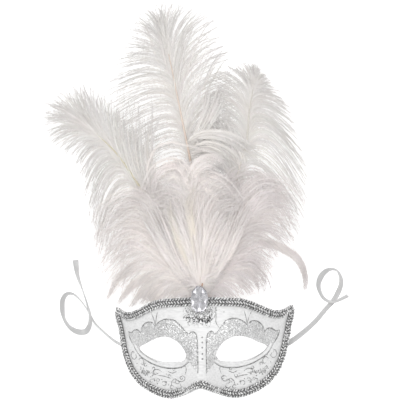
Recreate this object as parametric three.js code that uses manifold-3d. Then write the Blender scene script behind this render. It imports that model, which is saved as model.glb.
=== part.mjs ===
// Feathered half mask lying face up: +X to the wearer's left, +Y towards the plumes, +Z out of the face.
// Lengths are millimetres. While it is built, x = 0 is the mask's middle and y = 0 lies 5 mm under its top.
import * as THREE from 'three';
import { mergeVertices } from 'three/addons/utils/BufferGeometryUtils.js';
import Module from 'manifold-3d';

const wasm = await Module();
wasm.setup();

// Shell
const WALL = 1.8;
const CROWN_HEIGHT = 51;
const CHEEK_DROP = { from: -30, over: 70, by: 21 };
const ARCH_POWER = 2.4;
const TEMPLE_HALF_WIDTH = 84;
const HORN_FLARE = { from: -36, over: 26, by: 5 };
const CHEEK_LIFT = { from: -30, over: 16, by: 4.2 };
const CHEEK_TAPER = 0.06;
const REST_TRIM = 0.6;
const NOSE = { from: -20, over: 70, height: 36, halfWidth: 13, widening: 4 };
const SOCKET = { x: 38, y: -50, halfWidth: 22, halfHeight: 15, depth: 3 };
const SLOPE_STEP = 0.2;
const EDGE_STEP = 2;
const GRID = { x: 92, yLow: -103, yHigh: 9, columns: 30, rows: 18 };

// Right half of the front outline, from the top middle to the horn tip, then down to the nose notch
const TOP_EDGE = [[0, 5], [20, 4], [32, 3.4], [41, 2.4], [49, -0.2], [57, -4], [65, -8], [72, -10.3],
  [79.5, -9.8], [87.5, -5.9]];
const LOWER_EDGE = [[87.5, -5.9], [88.6, -14], [85.8, -25], [84, -36], [81.3, -49.8], [77.8, -61.6],
  [72.7, -72.3], [63.6, -82.8], [51.6, -90.3], [39.6, -94.8], [29.7, -95.5], [19.7, -92.8], [9.8, -87.4],
  [3.4, -84.3], [0, -83.7]];
const TOP_STATIONS = 44;
const LOWER_STATIONS = 76;

// Right eye hole, from its inner corner over the top and back below
const EYE = [[15, -52.5], [20.1, -42], [27, -36.6], [35.7, -33.9], [44.3, -35.5], [55.3, -40.7],
  [64.4, -46.2], [58.8, -51.8], [50.3, -56.1], [38.4, -59.6], [27.5, -59.4], [18.2, -57.6]];
const EYE_STATIONS = 24;
const LID = [[67.5, -42.9], [62.9, -50.7], [54.3, -56.9], [44.3, -61.4], [31.5, -63.6], [19.6, -62],
  [13.2, -57]];
const LID_RADIUS = 1.5;
const LID_STEPS = 11;
const LID_SIDES = 5;

// Braid
const BRAID_WIDTH = 8;
const BRAID_HEIGHT = 1.8;
const BRAID_EDGE_HEIGHT = 0.9;
const BRAID_SCALLOP = 0.5;
const GLUE_GAP = 0.6;
const HORN_FOLD = { reach: 13, zone: 26, inwardX: -0.6, inwardY: -0.8 };

// Gem
const GEM = { halfWidth: 8.8, halfLength: 13.6, height: 6.5, y: 2.8, lift: 2.9, facets: 12 };
const GEM_PROFILE = [[0, 0], [0.86, 0], [1, 0.3], [0.62, 0.86], [0.4, 1], [0, 1]];

// Plumes
const QUILL_RADIUS = 1.3;
const QUILL_SIDES = 6;
const QUILL_STEPS = 4;
const QUILL_OVERLAP = 0.03;
const SHAFT_RIDGE = 1.1;
const LAYER_AT_ROOT = 2.9;
const LAYER_SPREAD = 2.4;
const SPREAD_LENGTH = 60;
const ROOT_HEIGHT = 36.5;
const SAG_LENGTH = 240;
const SAG_WIDTH = 75;
const SAG_FADE = 60;
const FLOOR_SOFTNESS = 2;
const SWELL = { layer: 3, height: 9, y: 75, halfWidth: 45, halfLength: 38 };
const VANE_THICKNESS = 1.6;
const LOCK_RIDGE = 1.1;
const LOCK_ROWS = [0, 0.36, 0.7, 0.88, 1];
const SPLIT_ROW = 2;
const LOCK_NARROWING = 0.34;
const TIP_LEAN = 0.56;
const BARB_BOW = 0.06;

// Each plume: its shaft from root to tip, where the barbs of each side end, from root to tip, and how far
// the lowest ones first rise beside the shaft, as a share of their reach, on the left and on the right.
// The smaller `gather` is, the closer to the tip the locks leave the shaft.
const PLUMES = {
  plume_back_center: {
    layer: 0,
    locks: 15,
    vaneStart: 0.28,
    gather: 0.6,
    lean: [0.56, 0.56],
    shaft: [[0, -7], [-1, 60], [-8, 132], [-17, 178], [-26, 222], [-32, 250]],
    left: [[-52, 108], [-80, 160], [-91, 206], [-86, 232], [-77, 254], [-66, 281], [-52, 293],
      [-38, 299]],
    right: [[26, 112], [38, 160], [38, 205], [30, 242], [17, 270], [3, 289], [-18, 297], [-38, 299]],
  },
  plume_back_left: {
    layer: 1,
    locks: 14,
    vaneStart: 0.25,
    gather: 0.6,
    lean: [1, 0.56],
    shaft: [[-4, -7], [-18, 35], [-46, 88], [-62, 118], [-84, 149], [-106, 170]],
    left: [[-98, 40], [-107, 62], [-114, 98], [-120, 124], [-133, 146], [-152, 163], [-157, 180],
      [-151, 199]],
    right: [[-36, 104], [-50, 146], [-64, 172], [-82, 192], [-100, 208], [-118, 214], [-138, 210],
      [-151, 199]],
  },
  plume_back_right: {
    layer: 1,
    locks: 14,
    vaneStart: 0.25,
    gather: 0.65,
    lean: [0.6, 0.9],
    shaft: [[4, -7], [16, 40], [32, 95], [40, 132], [47, 156], [49.5, 185], [54, 212]],
    left: [[2, 96], [-2, 135], [4, 168], [8, 200], [13, 220], [28, 231], [44, 236], [58, 233]],
    right: [[88, 46], [97, 72], [105, 100], [104, 132], [98, 160], [92, 184], [81, 203], [70, 219],
      [58, 233]],
  },
  plume_front_left: {
    layer: 2,
    locks: 15,
    vaneStart: 0.08,
    gather: 1,
    lean: [0.7, 0.7],
    shaft: [[-4, -7], [-12, 25], [-26, 56], [-38, 78], [-50, 95]],
    left: [[-12, 5], [-30, 3], [-50, 0], [-66, -4], [-81, -5], [-96, 4], [-106, 24], [-108, 48],
      [-99, 77], [-82, 100], [-61, 112]],
    right: [[-3, 26], [-3, 58], [-5, 84], [-14, 102], [-28, 113], [-44, 117], [-61, 112]],
  },
  plume_front_right: {
    layer: 2,
    locks: 15,
    vaneStart: 0.08,
    gather: 1,
    lean: [0.7, 0.7],
    shaft: [[4, -7], [12, 25], [30, 58], [48, 82], [62, 100]],
    left: [[3, 26], [4, 60], [6, 88], [16, 108], [36, 122], [54, 127], [74, 120]],
    right: [[12, 6], [26, 4], [44, 1], [55, 7], [66, 24], [79, 42], [92, 64], [94, 90], [86, 110],
      [74, 120]],
  },
  plume_front_center: {
    layer: 3,
    locks: 14,
    vaneStart: 0.08,
    gather: 1,
    lean: [0.76, 0.76],
    shaft: [[0, -7], [1, 40], [-1, 78], [-7, 106], [-12, 122]],
    left: [[-9, 8], [-24, 26], [-38, 56], [-46, 90], [-46, 115], [-37, 131], [-18, 141]],
    right: [[9, 8], [25, 26], [38, 56], [43, 88], [38, 112], [22, 126], [2, 136], [-18, 141]],
  },
};
const SIDE_CURL = {
  route: [[70, 56], [84, 49], [95, 40], [100.5, 29], [102.3, 19], [101.5, 9]],
  width: 3,
  thickness: 1.2,
  steps: 8,
  sides: 6,
};

// Ribbons, each as its centre line on the table; the crossing passes over the first strand
const RIBBON_WIDTH = 6;
const RIBBON_THICKNESS = 1.2;
const RIBBON_REST = 0.8;
const RIBBON_CROSSING = 3.2;
const RIBBON_HUMP_POINTS = 3;
const RIBBON_SIDES = 8;
const RIBBON_STEPS = 34;
const RIBBON_LEFT = [[-78, -44], [-84, -43.5], [-89, -41], [-99, -33], [-110, -22], [-114, -15], [-119, -6],
  [-125, 2], [-132, 8], [-138, 8], [-142, 3], [-143, -6], [-141, -17], [-136, -25], [-128, -30], [-120, -30],
  [-115, -23], [-114.5, -13], [-117, -3], [-122, 12], [-127, 27], [-129, 42]];
const RIBBON_RIGHT = [[78, -44.5], [83.2, -44.1], [88, -41.3], [101, -31.5], [111, -22.5], [121, -11],
  [128.5, -3], [134, 6], [137, 14.5], [136.5, 21.5], [133, 27.5], [127.5, 29], [122, 27], [117, 21.5],
  [114.5, 13.5], [116, 6.5], [120, 0], [127, -3.5], [134, -2], [143.5, 2.5]];
const RIBBON_LEFT_OVER = 17;
const RIBBON_RIGHT_OVER = 17;

const COLORS = {
  shell: { color: 0xf4f3f1, roughness: 0.42, metalness: 0 },
  braid: { color: 0xb9bbbf, roughness: 0.32, metalness: 0.85 },
  gem: { color: 0xd9d9e4, roughness: 0.04, metalness: 0 },
  plume: { color: 0xf1eeea, roughness: 0.85, metalness: 0 },
  ribbon: { color: 0xd6d8da, roughness: 0.4, metalness: 0 },
};

// Small helpers
const mirror = ([x, y]) => [-x, y];
const vec3 = ([x, y]) => new THREE.Vector3(x, y, 0);
const smooth = (t) => THREE.MathUtils.smoothstep(t, 0, 1);
const lerp = THREE.MathUtils.lerp;
const bell = (u, v) => Math.exp(-(u ** 2) - (v ** 2));
const WELD = 1e-4;

function spline(points, closed = false) {
  return new THREE.CatmullRomCurve3(points.map(vec3), closed, 'centripetal');
}

function fromTriangles(triangles) {
  const geometry = new THREE.BufferGeometry().setFromPoints(triangles.flat());
  return mergeVertices(geometry, WELD);
}

function toSolid(geometry) {
  const plain = geometry.clone();
  plain.deleteAttribute('normal');
  plain.deleteAttribute('uv');
  const merged = mergeVertices(plain, WELD);
  return new wasm.Manifold(new wasm.Mesh({
    numProp: 3,
    vertProperties: new Float32Array(merged.attributes.position.array),
    triVerts: new Uint32Array(merged.index.array),
  }));
}

function toGeometry(solid) {
  const mesh = solid.getMesh();
  const geometry = new THREE.BufferGeometry();
  geometry.setAttribute('position', new THREE.BufferAttribute(new Float32Array(mesh.vertProperties), 3));
  geometry.setIndex(new THREE.BufferAttribute(new Uint32Array(mesh.triVerts), 1));
  return geometry;
}

function named(name, geometry, look) {
  const mesh = new THREE.Mesh(geometry, new THREE.MeshStandardMaterial(look));
  mesh.name = name;
  return mesh;
}

// A closed bar along points, its section a polygon of `sides` corners, wide across and flat upwards
function bar(points, sides, halfWidth, halfHeight) {
  const rings = points.map((point, i) => {
    const before = points[Math.max(i - 1, 0)];
    const after = points[Math.min(i + 1, points.length - 1)];
    const along = after.clone().sub(before).normalize();
    const across = new THREE.Vector3(along.y, -along.x, 0).normalize();
    const up = across.clone().cross(along);
    return Array.from({ length: sides }, (_, k) => {
      const angle = 2 * Math.PI * (k + 0.5) / sides;
      return point.clone()
        .addScaledVector(across, Math.cos(angle) * halfWidth(i))
        .addScaledVector(up, Math.sin(angle) * halfHeight(i));
    });
  });
  const triangles = [];
  for (let i = 0; i + 1 < rings.length; i += 1) {
    for (let k = 0; k < sides; k += 1) {
      const next = (k + 1) % sides;
      triangles.push([rings[i][k], rings[i + 1][next], rings[i][next]]);
      triangles.push([rings[i][k], rings[i + 1][k], rings[i + 1][next]]);
    }
  }
  const last = rings[rings.length - 1];
  for (let k = 1; k + 1 < sides; k += 1) {
    triangles.push([rings[0][0], rings[0][k], rings[0][k + 1]]);
    triangles.push([last[0], last[k + 1], last[k]]);
  }
  return fromTriangles(triangles);
}

const rise = (change, distance) => change.by * smooth(distance / change.over);

// Half width at which the front would meet the table
function templeHalfWidth(y) {
  const flare = rise(HORN_FLARE, y - HORN_FLARE.from);
  const lift = rise(CHEEK_LIFT, CHEEK_LIFT.from - y);
  return TEMPLE_HALF_WIDTH + flare + lift - CHEEK_TAPER * Math.max(HORN_FLARE.from - y, 0);
}

function noseRidge(x, y) {
  const down = THREE.MathUtils.clamp((NOSE.from - y) / NOSE.over, 0, 1);
  return NOSE.height * down * down * bell(x / (NOSE.halfWidth + NOSE.widening * down), 0);
}

// Height of the shell's front over the table
function frontHeight(x, y) {
  const crown = CROWN_HEIGHT - rise(CHEEK_DROP, CHEEK_DROP.from - y);
  const arch = 1 - (Math.abs(x) / templeHalfWidth(y)) ** ARCH_POWER;
  const outward = (Math.abs(x) - SOCKET.x) / SOCKET.halfWidth;
  const socket = SOCKET.depth * bell(outward, (y - SOCKET.y) / SOCKET.halfHeight);
  return crown * arch + noseRidge(x, y) - socket - REST_TRIM;
}

// A point of the front, moved out along the surface's own normal
function onFront(x, y, lift) {
  const step = SLOPE_STEP;
  const slopeX = (frontHeight(x + step, y) - frontHeight(x - step, y)) / (2 * step);
  const slopeY = (frontHeight(x, y + step) - frontHeight(x, y - step)) / (2 * step);
  const normal = new THREE.Vector3(-slopeX, -slopeY, 1).normalize();
  return new THREE.Vector3(x, y, frontHeight(x, y)).addScaledVector(normal, lift);
}

// The two stretches of the outline, sampled clockwise from the left horn tip
function outlineStations() {
  const top = spline([...TOP_EDGE.slice(1).reverse().map(mirror), ...TOP_EDGE]);
  const lower = spline([...LOWER_EDGE, ...LOWER_EDGE.slice(0, -1).reverse().map(mirror)]);
  return [
    ...top.getSpacedPoints(TOP_STATIONS).slice(0, -1),
    ...lower.getSpacedPoints(LOWER_STATIONS).slice(0, -1),
  ];
}

function prism(points, low, high) {
  const shape = new THREE.Shape(points.map((p) => new THREE.Vector2(p.x, p.y)));
  const geometry = new THREE.ExtrudeGeometry(shape, { depth: high - low, bevelEnabled: false });
  geometry.translate(0, 0, low);
  return toSolid(geometry);
}

// A sheet that follows the front, as thick as the wall, over a rectangle larger than the mask
function frontSheet() {
  const { x: half, yLow, yHigh, columns, rows } = GRID;
  const row = (y, lift) => Array.from({ length: columns + 1 }, (_, i) => (
    onFront(lerp(-half, half, i / columns), y, lift)));
  const grid = (lift) => Array.from({ length: rows + 1 }, (_, j) => row(lerp(yLow, yHigh, j / rows), lift));
  const outer = grid(0);
  const inner = grid(-WALL);
  const triangles = [];
  const quad = (a, b, c, d) => triangles.push([a, b, c], [a, c, d]);
  for (let j = 0; j < rows; j += 1) {
    for (let i = 0; i < columns; i += 1) {
      quad(outer[j][i], outer[j][i + 1], outer[j + 1][i + 1], outer[j + 1][i]);
      quad(inner[j][i], inner[j + 1][i], inner[j + 1][i + 1], inner[j][i + 1]);
    }
    quad(outer[j][0], outer[j + 1][0], inner[j + 1][0], inner[j][0]);
    quad(outer[j][columns], inner[j][columns], inner[j + 1][columns], outer[j + 1][columns]);
  }
  for (let i = 0; i < columns; i += 1) {
    quad(outer[0][i], inner[0][i], inner[0][i + 1], outer[0][i + 1]);
    quad(outer[rows][i], outer[rows][i + 1], inner[rows][i + 1], inner[rows][i]);
  }
  return toSolid(fromTriangles(triangles));
}

function lidBead(side) {
  const points = spline(LID).getSpacedPoints(LID_STEPS).map((p) => onFront(side * p.x, p.y, 0));
  const ordered = side > 0 ? points : points.reverse();
  return toSolid(bar(ordered, LID_SIDES, () => LID_RADIUS, () => LID_RADIUS));
}

function maskShell(stations) {
  const above = CROWN_HEIGHT * 2;
  const edge = stations.filter((_, i) => i % EDGE_STEP === 0).reverse();
  let shell = frontSheet().intersect(prism(edge, 0, above));
  for (const side of [-1, 1]) {
    const eye = spline(EYE, true).getSpacedPoints(EYE_STATIONS).slice(0, -1);
    const hole = eye.map((p) => ({ x: side * p.x, y: p.y }));
    shell = shell.add(lidBead(side)).subtract(prism(side > 0 ? hole.reverse() : hole, -WALL, above));
  }
  return named('mask_shell', toGeometry(shell), COLORS.shell);
}

// The braid's inner edge; past the fold at a horn tip it stays in the fold's inner corner
function braidInner(point, inward) {
  const slope = frontHeight(point.x + inward.x, point.y + inward.y) - frontHeight(point.x, point.y);
  const inner = point.clone().addScaledVector(inward, BRAID_WIDTH / Math.hypot(1, slope));
  const side = Math.sign(point.x);
  const tip = new THREE.Vector3(side * TOP_EDGE.at(-1)[0], TOP_EDGE.at(-1)[1], 0);
  const fold = new THREE.Vector3(side * HORN_FOLD.inwardX, HORN_FOLD.inwardY, 0);
  const sideOf = (p) => Math.sign(fold.x * (p.y - tip.y) - fold.y * (p.x - tip.x));
  const folded = point.distanceTo(tip) < HORN_FOLD.zone && sideOf(inner) !== sideOf(point);
  return folded ? tip.addScaledVector(fold, HORN_FOLD.reach) : inner;
}

function braidTrim(stations) {
  const count = stations.length;
  const sections = stations.map((point, i) => {
    const ahead = stations[(i + 1) % count].clone().sub(stations[(i + count - 1) % count]).normalize();
    const inward = new THREE.Vector3(ahead.y, -ahead.x, 0);
    const inner = braidInner(point, inward);
    const bulge = i % 2 ? BRAID_SCALLOP : 0;
    const outer = point.clone().addScaledVector(inward, -bulge);
    const middle = outer.clone().lerp(inner, 0.5);
    return [
      onFront(outer.x, outer.y, GLUE_GAP),
      onFront(outer.x, outer.y, GLUE_GAP + BRAID_EDGE_HEIGHT),
      onFront(middle.x, middle.y, GLUE_GAP + BRAID_HEIGHT - bulge),
      onFront(inner.x, inner.y, GLUE_GAP + BRAID_EDGE_HEIGHT),
      onFront(inner.x, inner.y, GLUE_GAP),
    ].map((corner) => corner.setZ(Math.max(corner.z, 0)));
  });
  const triangles = [];
  sections.forEach((section, i) => {
    const next = sections[(i + 1) % count];
    section.forEach((corner, k) => {
      const m = (k + 1) % section.length;
      for (const triangle of [[corner, next[m], next[k]], [corner, section[m], next[m]]]) {
        if (new THREE.Triangle(...triangle).getArea() > WELD) triangles.push(triangle);
      }
    });
  });
  return named('braid_trim', fromTriangles(triangles), COLORS.braid);
}

function gem() {
  const { halfWidth, halfLength, height, y, lift, facets } = GEM;
  const geometry = new THREE.LatheGeometry(GEM_PROFILE.map(([r, h]) => new THREE.Vector2(r, h)), facets);
  geometry.rotateX(Math.PI / 2).scale(halfWidth, halfLength, height);
  const mesh = named('gem', toGeometry(toSolid(geometry)), COLORS.gem);
  mesh.position.set(0, y, frontHeight(0, y) + lift);
  return mesh;
}

// Height of a plume's middle surface: it sags from the forehead to the table, one layer over the other
function plumeHeight(x, y, layer) {
  const forward = Math.max(y, 0);
  const across = (x / SAG_WIDTH) ** 2 / (1 + (forward / SAG_FADE) ** 2);
  const free = ROOT_HEIGHT * (1 - across - (forward / SAG_LENGTH) ** 2);
  const rest = (free + Math.hypot(free, 2 * FLOOR_SOFTNESS)) / 2;
  const pitch = LAYER_AT_ROOT + LAYER_SPREAD * smooth(Math.hypot(x, y) / SPREAD_LENGTH);
  const dome = SWELL.height * bell(x / SWELL.halfWidth, (y - SWELL.y) / SWELL.halfLength);
  const swell = layer < SWELL.layer ? 0 : dome;
  return rest + VANE_THICKNESS / 2 + layer * pitch + swell;
}

function inLayer(point, layer, lift = 0) {
  return new THREE.Vector3(point.x, point.y, plumeHeight(point.x, point.y, layer) + lift);
}

// One half of a vane as locks that share their roots; `side` is 1 right of the shaft and -1 left of it
function vaneSide(plume, side, shaft, tips) {
  const { locks, vaneStart, gather, layer } = plume;
  const rootLean = plume.lean[side > 0 ? 1 : 0];
  const barb = (step, f) => {
    const share = lerp(vaneStart, 1, (step / locks) ** gather);
    const root = shaft.getPointAt(share);
    const ahead = shaft.getTangentAt(share);
    const tip = tips.getPointAt(step / locks);
    const reach = tip.clone().sub(root);
    const lean = lerp(rootLean, TIP_LEAN, step / locks) * reach.length();
    const bend = root.clone().addScaledVector(ahead, lean).addScaledVector(reach, BARB_BOW);
    return new THREE.QuadraticBezierCurve3(root, bend, tip).getPoint(f);
  };
  const thick = VANE_THICKNESS / 2;
  const triangles = [];
  const add = (a, b, c) => triangles.push(side > 0 ? [a, b, c] : [a, c, b]);
  const quad = (a, b, c, d) => {
    add(a, b, c);
    add(a, c, d);
  };
  const edge = (step, row, lift) => inLayer(barb(step, LOCK_ROWS[row]), layer, lift);
  for (let lock = 0; lock < locks; lock += 1) {
    const crest = LOCK_ROWS.map((_, row) => edge(lock + 0.5, row, thick + (row ? LOCK_RIDGE : SHAFT_RIDGE)));
    const near = { top: [], under: [] };
    const far = { top: [], under: [] };
    for (let row = 0; row <= SPLIT_ROW; row += 1) {
      const lift = thick + (row === 0 ? SHAFT_RIDGE : 0);
      near.top.push(edge(lock, row, lift));
      near.under.push(edge(lock, row, -thick));
      far.top.push(edge(lock + 1, row, lift));
      far.under.push(edge(lock + 1, row, -thick));
    }
    const splitAt = LOCK_ROWS[SPLIT_ROW + 1];
    const middle = barb(lock + 0.5, splitAt);
    const nearEdge = inLayer(barb(lock, splitAt).lerp(middle, LOCK_NARROWING), layer);
    const farEdge = inLayer(barb(lock + 1, splitAt).lerp(middle, LOCK_NARROWING), layer);
    const tip = inLayer(barb(lock + 0.5, 1), layer);
    for (let row = 0; row < SPLIT_ROW; row += 1) {
      quad(near.top[row], near.top[row + 1], crest[row + 1], crest[row]);
      quad(crest[row], crest[row + 1], far.top[row + 1], far.top[row]);
      quad(near.under[row], far.under[row], far.under[row + 1], near.under[row + 1]);
    }
    quad(near.top[SPLIT_ROW], nearEdge, crest[SPLIT_ROW + 1], crest[SPLIT_ROW]);
    quad(crest[SPLIT_ROW], crest[SPLIT_ROW + 1], farEdge, far.top[SPLIT_ROW]);
    quad(near.under[SPLIT_ROW], far.under[SPLIT_ROW], farEdge, nearEdge);
    add(nearEdge, tip, crest[SPLIT_ROW + 1]);
    add(crest[SPLIT_ROW + 1], tip, farEdge);
    add(nearEdge, farEdge, tip);
    add(near.top[SPLIT_ROW], near.under[SPLIT_ROW], nearEdge);
    add(far.top[SPLIT_ROW], farEdge, far.under[SPLIT_ROW]);
    if (lock === 0) {
      for (let row = 0; row < SPLIT_ROW; row += 1) {
        quad(near.top[row], near.under[row], near.under[row + 1], near.top[row + 1]);
      }
    }
  }
  return triangles;
}

// The bare quill below the vane; it runs a little way into the vane's ridge
function quill(shaft, { layer, vaneStart }) {
  const points = Array.from({ length: QUILL_STEPS + 1 }, (_, i) => (
    inLayer(shaft.getPointAt(i / QUILL_STEPS * (vaneStart + QUILL_OVERLAP)), layer, SHAFT_RIDGE / 2)));
  return bar(points, QUILL_SIDES, () => QUILL_RADIUS, () => QUILL_RADIUS);
}

function plumeMesh(name, plume) {
  const shaft = spline(plume.shaft);
  const triangles = [
    ...vaneSide(plume, -1, shaft, spline(plume.left)),
    ...vaneSide(plume, 1, shaft, spline(plume.right)),
  ];
  let solid = toSolid(fromTriangles(triangles)).add(toSolid(quill(shaft, plume)));
  if (name === 'plume_front_right') solid = solid.add(toSolid(sideCurl(plume.layer)));
  return named(name, toGeometry(solid), COLORS.plume);
}

// The single curled lock that droops beside the right front plume
function sideCurl(layer) {
  const { route, width, thickness, steps, sides } = SIDE_CURL;
  const points = spline(route).getSpacedPoints(steps).map((p) => inLayer(p, layer));
  const taper = (i) => Math.sin(Math.PI * lerp(0.25, 0.88, i / steps));
  return bar(points, sides, (i) => width * taper(i), (i) => thickness * taper(i));
}

function ribbon(name, route, over) {
  const height = (i) => lerp(RIBBON_CROSSING, RIBBON_REST, smooth(Math.abs(i - over) / RIBBON_HUMP_POINTS));
  const points = route.map(([x, y], i) => new THREE.Vector3(x, y, height(i)));
  const section = new THREE.Shape(Array.from({ length: RIBBON_SIDES }, (_, k) => {
    const angle = 2 * Math.PI * (k + 0.5) / RIBBON_SIDES;
    return new THREE.Vector2(Math.cos(angle) * RIBBON_THICKNESS / 2, Math.sin(angle) * RIBBON_WIDTH / 2);
  }));
  const path = new THREE.CatmullRomCurve3(points, false, 'centripetal');
  const sweep = { steps: RIBBON_STEPS, bevelEnabled: false, extrudePath: path };
  return named(name, toGeometry(toSolid(new THREE.ExtrudeGeometry(section, sweep))), COLORS.ribbon);
}

const group = new THREE.Group();
const stations = outlineStations();
group.add(maskShell(stations), braidTrim(stations), gem());
for (const [name, plume] of Object.entries(PLUMES)) group.add(plumeMesh(name, plume));

// The origin goes under the middle of the box of everything but the ribbons
group.updateMatrixWorld(true);
const box = new THREE.Box3().setFromObject(group, true);
group.position.set(-(box.min.x + box.max.x) / 2, -(box.min.y + box.max.y) / 2, -box.min.z);
group.add(ribbon('ribbon_left', RIBBON_LEFT, RIBBON_LEFT_OVER));
group.add(ribbon('ribbon_right', RIBBON_RIGHT, RIBBON_RIGHT_OVER));

export default group;
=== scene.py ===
import bmesh
import bpy
import numpy as np
from mathutils import Matrix, Vector
from mathutils.geometry import delaunay_2d_cdt


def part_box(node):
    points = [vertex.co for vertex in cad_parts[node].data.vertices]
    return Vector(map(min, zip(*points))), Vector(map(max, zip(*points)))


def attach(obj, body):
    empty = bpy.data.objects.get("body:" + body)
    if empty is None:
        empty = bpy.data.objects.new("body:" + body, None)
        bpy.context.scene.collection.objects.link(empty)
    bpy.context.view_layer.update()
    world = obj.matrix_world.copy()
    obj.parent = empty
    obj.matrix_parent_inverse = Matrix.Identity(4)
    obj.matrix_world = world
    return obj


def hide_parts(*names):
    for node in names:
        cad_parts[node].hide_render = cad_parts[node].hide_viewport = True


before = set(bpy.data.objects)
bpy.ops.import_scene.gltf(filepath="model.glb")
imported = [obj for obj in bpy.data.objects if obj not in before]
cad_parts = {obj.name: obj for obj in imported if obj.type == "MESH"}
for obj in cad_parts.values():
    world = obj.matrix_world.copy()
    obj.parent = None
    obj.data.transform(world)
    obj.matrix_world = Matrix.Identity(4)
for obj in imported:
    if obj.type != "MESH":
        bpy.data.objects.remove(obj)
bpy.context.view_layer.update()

shell_low, shell_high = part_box("mask_shell")
TOP_ABOVE_ZERO = 5
PLAN_ZERO = np.array([(shell_low.x + shell_high.x) / 2, shell_high.y - TOP_ABOVE_ZERO / 1000, 0])
draw = np.random.default_rng(11)

# Camera
VIEW_CENTRE = [-2.5, 100, 0]
VIEW_FIELD = 400
VIEW_DISTANCE = 2500
VIEW_TURN = np.radians(5)
VIEW_ROLL = np.radians(1)
SENSOR = 36

# Shell
WALL = 1.8
CROWN_HEIGHT = 51
CHEEK_DROP = {"start": -30, "over": 70, "by": 21}
ARCH_POWER = 2.4
TEMPLE_HALF_WIDTH = 84
HORN_FLARE = {"start": -36, "over": 26, "by": 5}
CHEEK_LIFT = {"start": -30, "over": 16, "by": 4.2}
CHEEK_TAPER = 0.06
REST_TRIM = 0.6
NOSE = {"start": -20, "over": 70, "height": 36, "half_width": 13, "widening": 4}
SOCKET = {"x": 38, "y": -50, "half_width": 22, "half_height": 15, "depth": 3}
SLOPE_STEP = 0.2
TOP_EDGE = [[0, 5], [20, 4], [32, 3.4], [41, 2.4], [49, -0.2], [57, -4], [65, -8], [72, -10.3],
            [79.5, -9.8], [87.5, -5.9]]
LOWER_EDGE = [[87.5, -5.9], [88.6, -14], [85.8, -25], [84, -36], [81.3, -49.8], [77.8, -61.6],
              [72.7, -72.3], [63.6, -82.8], [51.6, -90.3], [39.6, -94.8], [29.7, -95.5],
              [19.7, -92.8], [9.8, -87.4], [3.4, -84.3], [0, -83.7]]
EYE = [[15, -52.5], [20.1, -42], [27, -36.6], [35.7, -33.9], [44.3, -35.5], [55.3, -40.7],
       [64.4, -46.2], [58.8, -51.8], [50.3, -56.1], [38.4, -59.6], [27.5, -59.4], [18.2, -57.6]]
LID = [[67.5, -42.9], [62.9, -50.7], [54.3, -56.9], [44.3, -61.4], [31.5, -63.6], [19.6, -62],
       [13.2, -57]]
LID_RADIUS = 1.5
SHELL_SPACING = 1.5
SHELL_STATIONS = [150, 260]
EYE_STATIONS = 90
LID_STATIONS = 50

# Glitter: what lies on both sides of the front is given for its right half.
# Leaves and dust are given as line, spread, count of grains and their radii.
GRAIN = 0.6
GRAIN_LIFT = [0.2, 0.55]
EDGE_SINK = 0.05
STROKE_HEIGHT = 0.35
STROKE_STEP = 0.7
STROKE_ENDS = 0.35
STROKE_SWELLS = [0.8, 1.15]
STROKE_UNREST = 0.05
NOSE_SHIFT = {"by": 1.4, "start": 30, "over": 15}
LID_LINE_OFFSET = 2
ZONE_LOBES = [
    [[75.5, -30.2], [72, -31], [68, -28.2], [64.5, -28], [61.5, -31.2]],
    [[61.5, -31.2], [59.8, -25.5], [55.2, -20.6], [49, -20.2], [45.5, -24]],
    [[45.5, -24], [42, -20], [34.5, -16.9], [26.4, -17.9], [20.7, -22.9], [16, -29], [12.5, -31.5]],
]
ZONE_NOSE = [[12.5, -31.5], [10, -28.8], [6.6, -30.2], [4.9, -34.5], [4.5, -42], [4.3, -52], [4.1, -69.7]]
ZONE_LOW = [[4.1, -69.7], [9, -63.2], [13.6, -57.2], [24, -50], [45, -45], [60, -48], [68.5, -44.5],
            [72.5, -38]]
ZONE_OUTER = [[75.5, -30.2], [73.2, -37], [69.4, -43.2]]
SPRIGS = [
    [[42.8, -9.5], [44.2, -15.5], [45.3, -22.5]],
    [[49.8, -10], [47, -16], [45.4, -22.5]],
]
CHEEK_SCROLLS = [
    [[64.8, -57.8], [61.8, -55.8], [59.2, -58.4], [60, -62.4], [62.6, -61.4]],
    [[21.4, -65.6], [20.6, -63.2], [17.6, -63], [16.4, -66.6], [18, -71.6]],
    [[31.4, -83.4], [30.6, -78.8], [27.4, -76.2], [24, -78.4], [20.6, -78.4], [17.8, -75.6], [19.8, -72.8],
     [23.2, -74.4]],
    [[44.6, -73], [38.4, -73.6], [32, -75.8]],
    [[27.6, -83.8], [25.4, -85.6], [21.8, -84.4], [22.8, -80.8]],
    [[71.6, -49.6], [72.6, -54], [69.6, -57.4], [66.8, -55], [68, -52]],
    [[40.8, -69], [44.8, -66.8], [49.2, -68.4], [47.8, -71.8], [44.2, -70.6]],
    [[34.2, -68.6], [30, -70.4], [25.6, -68.6]],
]
LEAVES = [
    [[[63.6, -66.6], [55, -70], [47.6, -71.4]], 1.2, 70, [0.25, 0.6]],
    [[[63, -70], [56, -72]], 0.8, 24, [0.25, 0.55]],
    [[[50.4, -76], [46.2, -80.8]], 0.6, 18, [0.25, 0.55]],
]
CHEEK_CURLS = [[39, -81, 2.2], [25, -79, 2], [31, -84.5, 1.8], [45, -77.5, 1.5], [33, -73.5, 1.5],
               [52, -78.5, 1.5], [20.5, -75, 1.4], [49, -66, 1.4], [57.5, -62.5, 1.4], [28, -66.5, 1.2],
               [62.5, -54.5, 1.3], [70.5, -50.5, 1.2]]
CURL_ARC = np.radians(300)
CHEEK_DOTS = [[[37, -79.6], 1.1], [[34.2, -82.4], 0.6], [[52.6, -74.4], 0.7], [[41, -77], 0.6],
              [[58.2, -73.2], 0.8], [[28.6, -79.8], 0.6], [[66.6, -61.4], 0.7], [[36, -71.4], 0.5]]
BROW_LINE = [[15.8, -3.4], [15.4, -9], [15.6, -14.5], [15.4, -20], [18.4, -25.4]]
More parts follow.
